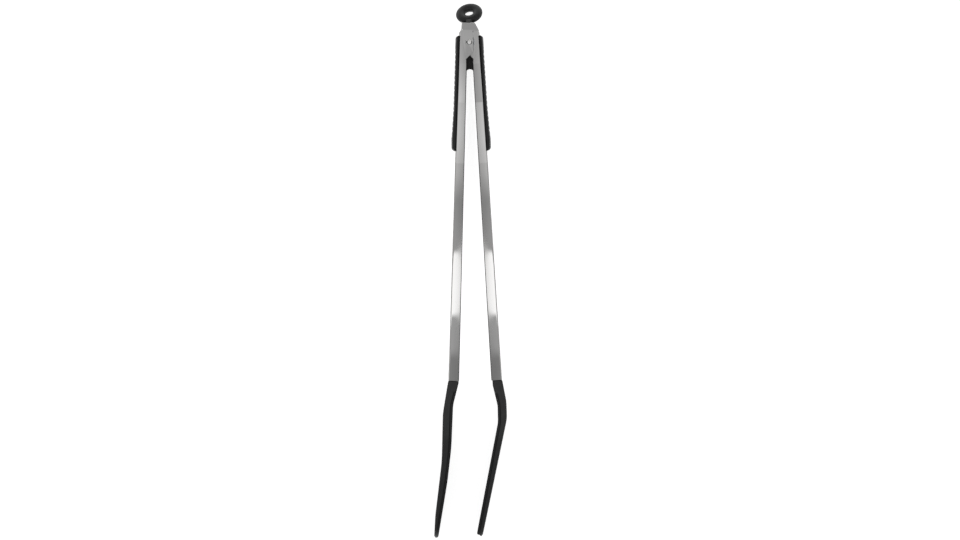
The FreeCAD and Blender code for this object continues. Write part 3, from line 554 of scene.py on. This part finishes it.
def box_section(inner, outer, half, inner_round, outer_round):
    """Loop of a rounded box for each station, as arrays (stations, loop) of out and height.

    Corner points are centre + radius * (cos, sin) over a quarter turn. Each face runs straight
    between two corners, in even steps.
    """
    inner, outer, half = (np.asarray(v, float)[:, None] for v in (inner, outer, half))
    quarter = np.linspace(0, math.pi / 2, CORNER_STEPS)[None, :]
    thick = outer - inner
    outer_round = np.minimum(np.minimum(outer_round, thick * 0.49), half * 0.9)
    inner_round = np.minimum(np.minimum(inner_round, thick * 0.49), half * 0.9)
    corners = []
    for start, out_sign, up_sign in ((0, 1, 1), (1, 1, -1), (2, -1, -1), (3, -1, 1)):
        radius = outer_round if out_sign > 0 else inner_round
        face = outer if out_sign > 0 else inner
        angle = math.pi / 2 - (quarter + start * math.pi / 2)
        corners.append((face - out_sign * radius + radius * np.cos(angle),
                        up_sign * (half - radius) + radius * np.sin(angle)))
    outs, heights = [], []
    for index, steps in enumerate((FACE_STEPS, RIM_STEPS, FACE_STEPS, RIM_STEPS)):
        here, following = corners[index], corners[(index + 1) % 4]
        along = np.linspace(0, 1, steps + 2)[None, 1:-1]
        outs += [here[0], here[0][:, -1:] * (1 - along) + following[0][:, :1] * along]
        heights += [here[1], here[1][:, -1:] * (1 - along) + following[1][:, :1] * along]
    return np.concatenate(outs, axis=1), np.concatenate(heights, axis=1)


def smooth_step(value, low, high):
    """0 below low, 1 above high, an S curve between."""
    t = np.clip((value - low) / (high - low), 0, 1)
    return t * t * (3 - 2 * t)


# %% [markdown]
# ## Soft grips
# A grip is moulded over a hard strip. Its outer face is crowned, so that it fills the palm, and a
# field of shallow ribs across it keeps a wet hand from slipping. The two narrow faces are flat,
# because the tongs lie on them. Its inner side is stepped where the hard strip sits.

# %% Grips
GRIP_STATIONS = 240
RIB_PITCH = 4.2 * MM
RIB_DEPTH = 0.32 * MM
RIBS_FROM_END = (9 * MM, 16 * MM)
GRIP_CROWN = 0.9 * MM
GRIP_INNER_ROUND = 0.12 * MM
GRIP_OUTER_ROUND = 1.9 * MM
STRIP_ROOM = 0.3 * MM


def extent(side, name):
    """Lowest and highest values of a node in its arm's own terms."""
    local = to_arm(side, node_points(name))
    return local.min(0), local.max(0)


def make_grip(side):
    """Grip section = rounded box; its outer face = CAD face - crown * (height / half)^3 - ribs."""
    node = f"{side}_grip"
    low, high = extent(side, node)
    strip_low, strip_high = extent(side, f"{side}_grip_carrier")
    downs = np.linspace(low[0] + 0.02 * MM, high[0] - 0.02 * MM, GRIP_STATIONS)
    outer = probe(side, node, downs, 1.0)
    half = np.full(GRIP_STATIONS, high[2])
    web = extent(side, f"{side}_arm_channel")[1][1]
    inner = np.full(GRIP_STATIONS, low[1])
    outs, heights = box_section(inner, outer, half, GRIP_INNER_ROUND, GRIP_OUTER_ROUND)
    across = np.abs(heights) / high[2]
    outward = smooth_step(outs, web + 0.3 * MM, outer[:, None] - 0.2 * MM)
    outs = outs - outward * GRIP_CROWN * across ** 3
    first, full = RIBS_FROM_END
    field = (smooth_step(1 - across, 0.2, 0.36)
             * smooth_step(downs, low[0] + first, low[0] + full)[:, None]
             * smooth_step(-downs, -high[0] + first, -high[0] + full)[:, None])
    wave = 0.5 - 0.5 * np.cos(2 * math.pi * (downs[:, None] + 0.12 * heights ** 2 / high[2]) / RIB_PITCH)
    outs = outs - outward * field * RIB_DEPTH * (0.35 + wave ** 2)
    seat_half = probe_top(side, f"{side}_arm_channel", downs, np.full(GRIP_STATIONS, low[1] + 0.1 * MM))
    inner_side = outs < web - 0.05 * MM
    inside = (np.abs(heights) < seat_half[:, None] - STRIP_ROOM) & inner_side
    beside_strip = (downs > strip_low[0] - STRIP_ROOM) & (downs < strip_high[0] + STRIP_ROOM)
    strip = (np.abs(heights) < strip_high[2] + STRIP_ROOM) & beside_strip[:, None]
    seat = np.where(strip, strip_high[1] + 0.03 * MM, web + 0.02 * MM)
    outs = np.where(inside, seat, outs)
    rings = to_row(side, downs[:, None], outs, heights)
    piece = tube(f"{side}_grip_rubber", rings)
    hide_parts(node)
    return attach(piece, node, GRIP_RUBBER)


for side in SIDES:
    grip = make_grip(side)
    print(grip.name, len(grip.data.polygons), "faces")

# %% [markdown]
# ## Heads
# Each head is two mouldings: a stiff outer shell that carries on from the steel, and a soft pad on
# the gripping side. From the side a head is narrow at the steel, then as wide as the grips, with a
# round end. The shell's back is slightly dished inside a rim, which keeps it stiff, and the pad has
# ridges across it. The guide curves all come from probing the CAD solids.

# %% Stations and guide curves of a head
HEAD_STATIONS = 170
DISH_DEPTH = 0.7 * MM
RIM_WIDTH = 3.2 * MM
PARTING = 0.55 * MM
SHELL_TIP = 2.3 * MM
PAD_TIP = 1.7 * MM
RIDGE_PITCH = 5.5 * MM
RIDGE_DEPTH = 0.75 * MM
SHELL_BACK_ROUND = 1.3 * MM
PAD_FACE_ROUND = 0.8 * MM
PAD_SIDE_STEP = 0.1 * MM
COLLAR_DEPTH = 0.35 * MM
RIB_WIDTH = 1.6 * MM


def eased(low, high, count):
    """Stations from low to high that crowd together towards high, as the sine of an even angle does."""
    even = np.linspace(0, 1, count)
    return low + (high - low) * (0.5 * even + 0.5 * np.sin(even * math.pi / 2))


def head_guides(side, node, start, step=None):
    """Stations down a head solid with its inner face, outer face and half height at each; a step gets two."""
    end = extent(side, node)[1][0]
    downs = eased(start, end - 0.06 * MM, HEAD_STATIONS)
    if step:
        downs = np.sort(np.append(downs, [step - 0.03 * MM, step + 0.03 * MM]))
    outer = probe(side, node, downs, 1.0)
    inner = probe(side, node, downs, -1.0)
    half = probe_top(side, node, downs, (outer + inner) / 2)
    return downs, inner, outer, half


def tip_round(downs, radius):
    """How far a face draws in towards the end: the sagitta of a quarter circle of that radius."""
    short = np.clip(radius - (downs[-1] - downs), 0, radius)
    return radius - np.sqrt(radius * radius - short * short)


def make_shell(side):
    """Shell section = rounded box; its back = CAD face - dish * (1 inside the rim, 0 on it) + centre rib."""
    node = f"{side}_head_shell"
    steel_end = extent(side, f"{side}_arm_channel")[1][0]
    pad_start = extent(side, f"{side}_head_pad")[0][0]
    downs, inner, outer, half = head_guides(side, node, steel_end + 0.15 * MM, pad_start)
    collar = smooth_step(-downs, -steel_end - 1.0 * MM, -steel_end - 0.4 * MM) * COLLAR_DEPTH
    outer = outer - np.minimum(tip_round(downs, SHELL_TIP), (outer - inner) * 0.9)
    outs, heights = box_section(inner, outer - collar, half - collar, PARTING, SHELL_BACK_ROUND)
    middle = (inner + outer)[:, None] / 2
    back = outs > middle + (outer - inner)[:, None] * 0.3
    inset = half[:, None] - np.abs(heights)
    tip = (downs[-1] - downs)[:, None]
    dish = smooth_step(inset, RIM_WIDTH * 0.6, RIM_WIDTH * 1.5) * smooth_step(tip, 2.5 * MM, 7 * MM)
    dish = dish * smooth_step(downs[:, None], steel_end + 16 * MM, steel_end + 34 * MM)
    rib = np.exp(-(heights / RIB_WIDTH) ** 2)
    outs = outs - np.where(back, DISH_DEPTH * dish * (1 - 0.8 * rib), 0)
    piece = tube(f"{side}_head_shell_moulded", to_row(side, downs[:, None], outs, heights))
    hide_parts(node)
    return attach(piece, node, SHELL_NYLON)


def make_pad(side):
    """Pad section = rounded box; gripping face = CAD face + a shallow field with ridges that rise back."""
    node = f"{side}_head_pad"
    start = extent(side, node)[0][0]
    downs, inner, outer, half = head_guides(side, node, start + 0.05 * MM)
    inner = inner + np.minimum(tip_round(downs, PAD_TIP), (outer - inner) * 0.9)
    outs, heights = box_section(inner, outer, half - PAD_SIDE_STEP, PAD_FACE_ROUND, PARTING)
    face = outs < inner[:, None] + (outer - inner)[:, None] * 0.35
    inset = half[:, None] - np.abs(heights)
    field = smooth_step(inset, 1.6 * MM, 3.0 * MM) * smooth_step(downs[-1] - downs, 3 * MM, 6 * MM)[:, None]
    field = field * smooth_step(downs - start, 6 * MM, 12 * MM)[:, None]
    phase = 2 * math.pi * (downs[:, None] - 0.2 * heights ** 2 / half.max()) / RIDGE_PITCH
    ridge = 0.5 + 0.5 * np.cos(phase)
    outs = outs + np.where(face, RIDGE_DEPTH * field * (1 - ridge ** 1.5), 0)
    piece = tube(f"{side}_head_pad_moulded", to_row(side, downs[:, None], outs, heights))
    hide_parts(node)
    return attach(piece, node, PAD_SILICONE)


for side in SIDES:
    for piece in (make_shell(side), make_pad(side)):
        print(piece.name, len(piece.data.polygons), "faces")

# %% [markdown]
# ## Pull ring
# The ring is one rubber moulding: a plump ring and a tongue that wraps the pin. Two grids make them,
# and a voxel remesh runs them together with a soft fillet, as rubber has. The rubber is cleared away
# round the fork's two ends, so it can swing.

# %% The ring's own axes, from the record
RING_PIN = np.array(JOINTS["ring_swing"]["pos_m"])
RING_CENTRE = np.array(MOUNTS["hang_hole"]["pos_m"])
RING_NORMAL = np.array(MOUNTS["hang_hole"]["axis"]) / np.linalg.norm(MOUNTS["hang_hole"]["axis"])
REACH = RING_CENTRE - RING_PIN
REACH = REACH - (REACH @ RING_NORMAL) * RING_NORMAL
RING_OUT = REACH / np.linalg.norm(REACH)
RING_ACROSS = np.cross(RING_OUT, RING_NORMAL)
HOLE_RADIUS = MOUNTS["hang_hole"]["dims"]["r_mm"] * MM


def ring_space(across, along, up):
    """Places from distances across the ring, along it from its centre, and off its plane."""
    across, along, up = np.broadcast_arrays(across, along, up)
    return (RING_CENTRE + across[..., None] * RING_ACROSS + along[..., None] * RING_OUT
            + up[..., None] * RING_NORMAL)


ring_local = (node_points("pull_ring") - RING_CENTRE) @ np.stack([RING_ACROSS, RING_OUT, RING_NORMAL], axis=1)
RING_RADIUS = ring_local[:, 1].max()
RING_THICK = ring_local[:, 2].max()
PIN_REACH = float(np.linalg.norm(REACH))
print("ring radius", round(RING_RADIUS / MM, 2), "half thickness", round(RING_THICK / MM, 2))

# %% Ring and tongue as two grids, run together
TONGUE_HALF = 2.0 * MM
EYE_RADIUS = 1.5 * MM
TONGUE_RADIUS = 2.6 * MM
CLEAR_RADIUS = 3.1 * MM
VOXEL = 0.28 * MM


def ring_grid(turns=180, around=56):
    """Torus: centre line radius R, section an ellipse a wide and b thick, cut by the hole's cylinder."""
    wide = (RING_RADIUS - HOLE_RADIUS) / 2 + 0.15 * MM
    line = RING_RADIUS - wide
    turn = np.linspace(0, 2 * math.pi, turns, endpoint=False)[:, None]
    section = np.linspace(0, 2 * math.pi, around, endpoint=False)[None, :]
    radius = np.maximum(line + wide * np.cos(section), HOLE_RADIUS)
    return radius * np.cos(turn), radius * np.sin(turn), RING_THICK * np.sin(section) + 0 * turn


def cleared(across, along, up):
    """Push the rubber beside the tongue away from the pin's axis, to leave room for the fork."""
    from_pin = np.stack([along + PIN_REACH, up])
    distance = np.maximum(np.linalg.norm(from_pin, axis=0), 1e-6)
    beside = np.abs(across) > TONGUE_HALF
    push = np.where(beside & (distance < CLEAR_RADIUS), CLEAR_RADIUS / distance, 1.0)
    return across, from_pin[0] * push - PIN_REACH, from_pin[1] * push


def tongue_grid(turns=96, around=32):
    """Eye about the pin: a rounded square section between the eye and a rim that reaches into the ring."""
    turn = np.linspace(0, 2 * math.pi, turns, endpoint=False)[:, None]
    section = np.linspace(0, 2 * math.pi, around, endpoint=False)[None, :]
    square = 0.25
    side_way = np.sign(np.cos(section)) * np.abs(np.cos(section)) ** square
    rim_way = np.sign(np.sin(section)) * np.abs(np.sin(section)) ** square
    rim = TONGUE_RADIUS + 2.6 * MM * np.clip(np.cos(turn), 0, 1) ** 3
    radius = EYE_RADIUS + (rim - EYE_RADIUS) * (0.5 + 0.5 * rim_way)
    return TONGUE_HALF * side_way + 0 * turn, radius * np.cos(turn) - PIN_REACH, radius * np.sin(turn)


def remeshed(piece, voxel, smoothing):
    """Run a piece's shells together on a voxel grid, smooth the steps away, and keep the result."""
    remesh = piece.modifiers.new("one_skin", "REMESH")
    remesh.mode = "VOXEL"
    remesh.voxel_size = voxel
    soften = piece.modifiers.new("soften", "SMOOTH")
    soften.factor = 0.5
    soften.iterations = smoothing
    faces = applied(piece).polygons
    faces.foreach_set("use_smooth", np.ones(len(faces), dtype=bool))
    return piece


def make_ring():
    """Both grids in one mesh, remeshed."""
    ring = ring_space(*cleared(*ring_grid()))
    tongue = ring_space(*tongue_grid())
    faces = grid_faces(*ring.shape[:2], wrap_rows=True)
    faces += grid_faces(*tongue.shape[:2], offset=ring.shape[0] * ring.shape[1], wrap_rows=True)
    points = np.concatenate([ring.reshape(-1, 3), tongue.reshape(-1, 3)])
    piece = mesh_object("pull_ring_rubber", points, faces)
    point_outwards(piece)
    remeshed(piece, VOXEL, 8)
    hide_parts("pull_ring")
    return attach(piece, "pull_ring", RING_RUBBER)


ring = make_ring()
print(ring.name, len(ring.data.polygons), "faces")

# %% [markdown]
# ## Torsion springs
# A torsion spring is one wire: a leg, some turns round the rivet, and the other leg. On the tongs the
# turns stay with the hinge while the legs follow the arms, so the wire is three pieces, and the legs bend
# between the hinge and the arm. Here the turns join the spring's body and the legs are left loose. Each is a
# circle carried along a path.

# %% Springs
WIRE_AROUND = 14
COIL_STEPS = 30
COIL_TURNS = 2.5
WIRE_RADIUS = 0.55 * MM


def wire_tube(name, path, radius):
    """Circle carried along a path: each ring lies across the path's direction there."""
    ahead = np.gradient(path, axis=0)
    ahead /= np.linalg.norm(ahead, axis=1, keepdims=True)
    up = np.array([0.0, 0.0, 1.0])
    sideways = np.cross(ahead, up)
    sideways /= np.linalg.norm(sideways, axis=1, keepdims=True)
    over = np.cross(sideways, ahead)
    angle = np.linspace(0, 2 * math.pi, WIRE_AROUND, endpoint=False)
    rings = (path[:, None, :] + radius * (np.cos(angle)[None, :, None] * sideways[:, None, :]
                                          + np.sin(angle)[None, :, None] * over[:, None, :]))
    return tube(name, rings)


def leg_path(start, foot, steps=24):
    """Leg from the coil to its foot: down the tongs, then towards the web (a quadratic curve)."""
    bend = start + np.array([0.0, -0.3 * abs(foot[1] - start[1]), 0.0])
    t = np.linspace(0, 1, steps)[:, None]
    return (1 - t) ** 2 * start + 2 * t * (1 - t) * bend + t ** 2 * foot


def make_spring(node):
    """Helix round the pivot with a leg at each end; its places are read from the CAD solid's box."""
    low, high = (np.array(corner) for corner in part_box(node))
    coil = high[1] - PIVOT[1] - WIRE_RADIUS
    rise = (high[2] - low[2]) - 2 * WIRE_RADIUS
    upward = 1 if PIVOT[2] < low[2] else -1
    first = (low[2] if upward > 0 else high[2]) + upward * WIRE_RADIUS
    angle = np.linspace(0, 2 * math.pi * COIL_TURNS, int(COIL_STEPS * COIL_TURNS) + 1)
    path = np.stack([PIVOT[0] + coil * np.cos(angle), PIVOT[1] + coil * np.sin(angle),
                     first + upward * rise * angle / angle[-1]], axis=1)
    pieces = [attach(wire_tube(f"{node}_coil", path, WIRE_RADIUS), node, SPRING_STEEL)]
    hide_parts(node)
    for side, start in (("right", path[0]), ("left", path[-1])):
        reach = (high[0] - PIVOT[0] - WIRE_RADIUS) * SIDES[side]
        foot = np.array([PIVOT[0] + reach, low[1] + WIRE_RADIUS * 0.6, start[2]])
        leg = wire_tube(f"{node}_{side}_leg", leg_path(start, foot), WIRE_RADIUS)
        leg.data.materials.append(SPRING_STEEL)
        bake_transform(leg)
        pieces.append(leg)
    return pieces


for node in ("front_spring", "back_spring"):
    print([piece.name for piece in make_spring(node)])

# %% [markdown]
# ## Floor, light and camera
# The tongs lie on a white light table. Polished steel shows what is above it, so its look is set by
# a glowing card overhead. The card isn't even: its levels were fitted to the tones wanted
# along the arms, with one white band that the tapering flanges mirror and one bright patch that the
# rivet's dome mirrors. The sides of the room are a soft grey.

# %% Floor
FLOOR_HALF = 6.0
FLOOR_GAP = 0.2 * MM


def make_floor():
    """Large plain floor just under the tongs, lit a little from below as a light table is."""
    corners = np.array([[-1, -1, 0], [1, -1, 0], [1, 1, 0], [-1, 1, 0]]) * FLOOR_HALF
    floor = mesh_object("floor", corners + np.array([0, 0, CAD_BOX[0][2] - FLOOR_GAP]), [[0, 1, 2, 3]])
    finish = Finish("pale_floor")
    patch = finish.noise((3.0, 3.0, 3.0), 2.0)
    tone = finish.mix(patch, grey(0.93), grey(0.9))
    finish.surface({"Base Color": tone, "Roughness": 0.9, "Emission Color": grey(1.0),
                    "Emission Strength": 0.8}, patch, 0.0)
    floor.data.materials.append(finish.material)
    return floor


print(make_floor().name, 2 * FLOOR_HALF, "m across")

# %% World and light card
# Distances are metres from the pivot towards the heads. CARD_GRADE and BELOW_BAND pair them with levels;
# BAND is the white band's start, end and level.
CARD_HEIGHT = 0.5
CARD_HALF = 0.36
CARD_TOP = 0.36
CARD_LENGTH = 1.0
CARD_PEAK = 1.6
CARD_GRADE = [(-0.320, 0.45), (-0.310, 1.25), (-0.250, 1.25), (-0.240, 0.50), (-0.090, 0.58), (-0.070, 0.70),
              (-0.046, 0.93), (-0.024, 0.51), (0.004, 0.58), (0.012, 0.64), (0.052, 0.84), (0.078, 0.88),
              (0.104, 0.76), (0.132, 0.68), (0.156, 0.38), (0.190, 0.46)]
BAND = (0.2004, 0.2556, 1.52)
BELOW_BAND = [(0.288, 0.50), (0.289, 0.31)]
BAND_EDGE = 0.001


def make_world(low, side, high):
    """Dim below the horizon, brighter at the sides, grey high up."""
    world = bpy.data.worlds.new("studio")
    bpy.context.scene.world = world
    world.use_nodes = True
    tree = world.node_tree
    tree.nodes.clear()
    place = tree.nodes.new("ShaderNodeTexCoord")
    split = tree.nodes.new("ShaderNodeSeparateXYZ")
    back = tree.nodes.new("ShaderNodeBackground")
    out = tree.nodes.new("ShaderNodeOutputWorld")
    tree.links.new(place.outputs["Generated"], split.inputs[0])
    total = tree.nodes.new("ShaderNodeMath")
    ranges = ((0.0, 0.32, low, side), (0.62, 0.72, 0.0, high - side))
    for socket, (start, stop, first, last) in zip(total.inputs, ranges):
        step = tree.nodes.new("ShaderNodeMapRange")
        step.interpolation_type = "SMOOTHSTEP"
        for key, number in (("From Min", start), ("From Max", stop), ("To Min", first), ("To Max", last)):
            step.inputs[key].default_value = number
        tree.links.new(split.outputs["Z"], step.inputs["Value"])
        tree.links.new(step.outputs[0], socket)
    tree.links.new(total.outputs[0], back.inputs["Strength"])
    tree.links.new(back.outputs[0], out.inputs["Surface"])


def make_card():
    """Glowing card above the tongs, its level graded along them; the camera looks through it."""
    low = PIVOT[1] + CARD_TOP - CARD_LENGTH
    high = PIVOT[1] + CARD_TOP
    x, z = PIVOT[0], CARD_HEIGHT
    corners = np.array([[x - CARD_HALF, low, z], [x - CARD_HALF, high, z],
                        [x + CARD_HALF, high, z], [x + CARD_HALF, low, z]])
    card = mesh_object("light_card", corners, [[0, 1, 2, 3]])
    finish = Finish("light_card")
    place = finish.node("ShaderNodeTexCoord", {}, {}).out("Object")
    down = PIVOT[1] - finish.node("ShaderNodeSeparateXYZ", {}, {0: place}).out(1)
    ramp = finish.node("ShaderNodeValToRGB", {}, {0: (down + CARD_TOP) * (1 / CARD_LENGTH)})
    start, end, white = BAND
    stops = CARD_GRADE + [(start - BAND_EDGE, CARD_GRADE[-1][1]), (start, white), (end, white),
                          (end + BAND_EDGE, BELOW_BAND[0][1])]
    stops += BELOW_BAND + [(CARD_LENGTH - CARD_TOP, BELOW_BAND[-1][1])]
    elements = ramp.node.color_ramp.elements
    while len(elements) < len(stops):
        elements.new(1.0)
    for element, (distance, level) in zip(elements, stops):
        element.position = (distance + CARD_TOP) / CARD_LENGTH
        element.color = grey(level / CARD_PEAK)
    glow = finish.node("ShaderNodeEmission", {}, {"Color": ramp.out(0), "Strength": CARD_PEAK}).out(0)
    finish.node("ShaderNodeOutputMaterial", {}, {"Surface": glow})
    card.data.materials.append(finish.material)
    card.visible_camera = False
    return card


make_world(0.2, 0.58, 0.5)
print(make_card().name, len(CARD_GRADE), "levels and a band")

# %% Camera
VIEW_WIDTH = 789.5 * MM
VIEW_TURN = math.radians(-0.98)
VIEW_RIGHT = 5.5 * MM
VIEW_BELOW = 187.65 * MM
CAMERA_HEIGHT = 10.0
STEEL_HEIGHT = 34.0 * MM
SENSOR_WIDTH = 36.0


def make_camera():
    """Long lens straight above, turned so that the tongs lean as they were laid."""
    data = bpy.data.cameras.new("camera")
    data.sensor_width = SENSOR_WIDTH
    data.lens = SENSOR_WIDTH * (CAMERA_HEIGHT - STEEL_HEIGHT) / VIEW_WIDTH
    camera = bpy.data.objects.new("camera", data)
    camera.location = (PIVOT[0] + VIEW_RIGHT, PIVOT[1] - VIEW_BELOW, CAMERA_HEIGHT)
    camera.rotation_euler = (0, 0, VIEW_TURN)
    bpy.context.scene.collection.objects.link(camera)
    bpy.context.scene.camera = camera
    return camera


print(make_camera().name, CAMERA_HEIGHT, "m up")
bpy.context.scene.view_settings.view_transform = "Standard"

# %% Update the view layer
bpy.context.view_layer.update()
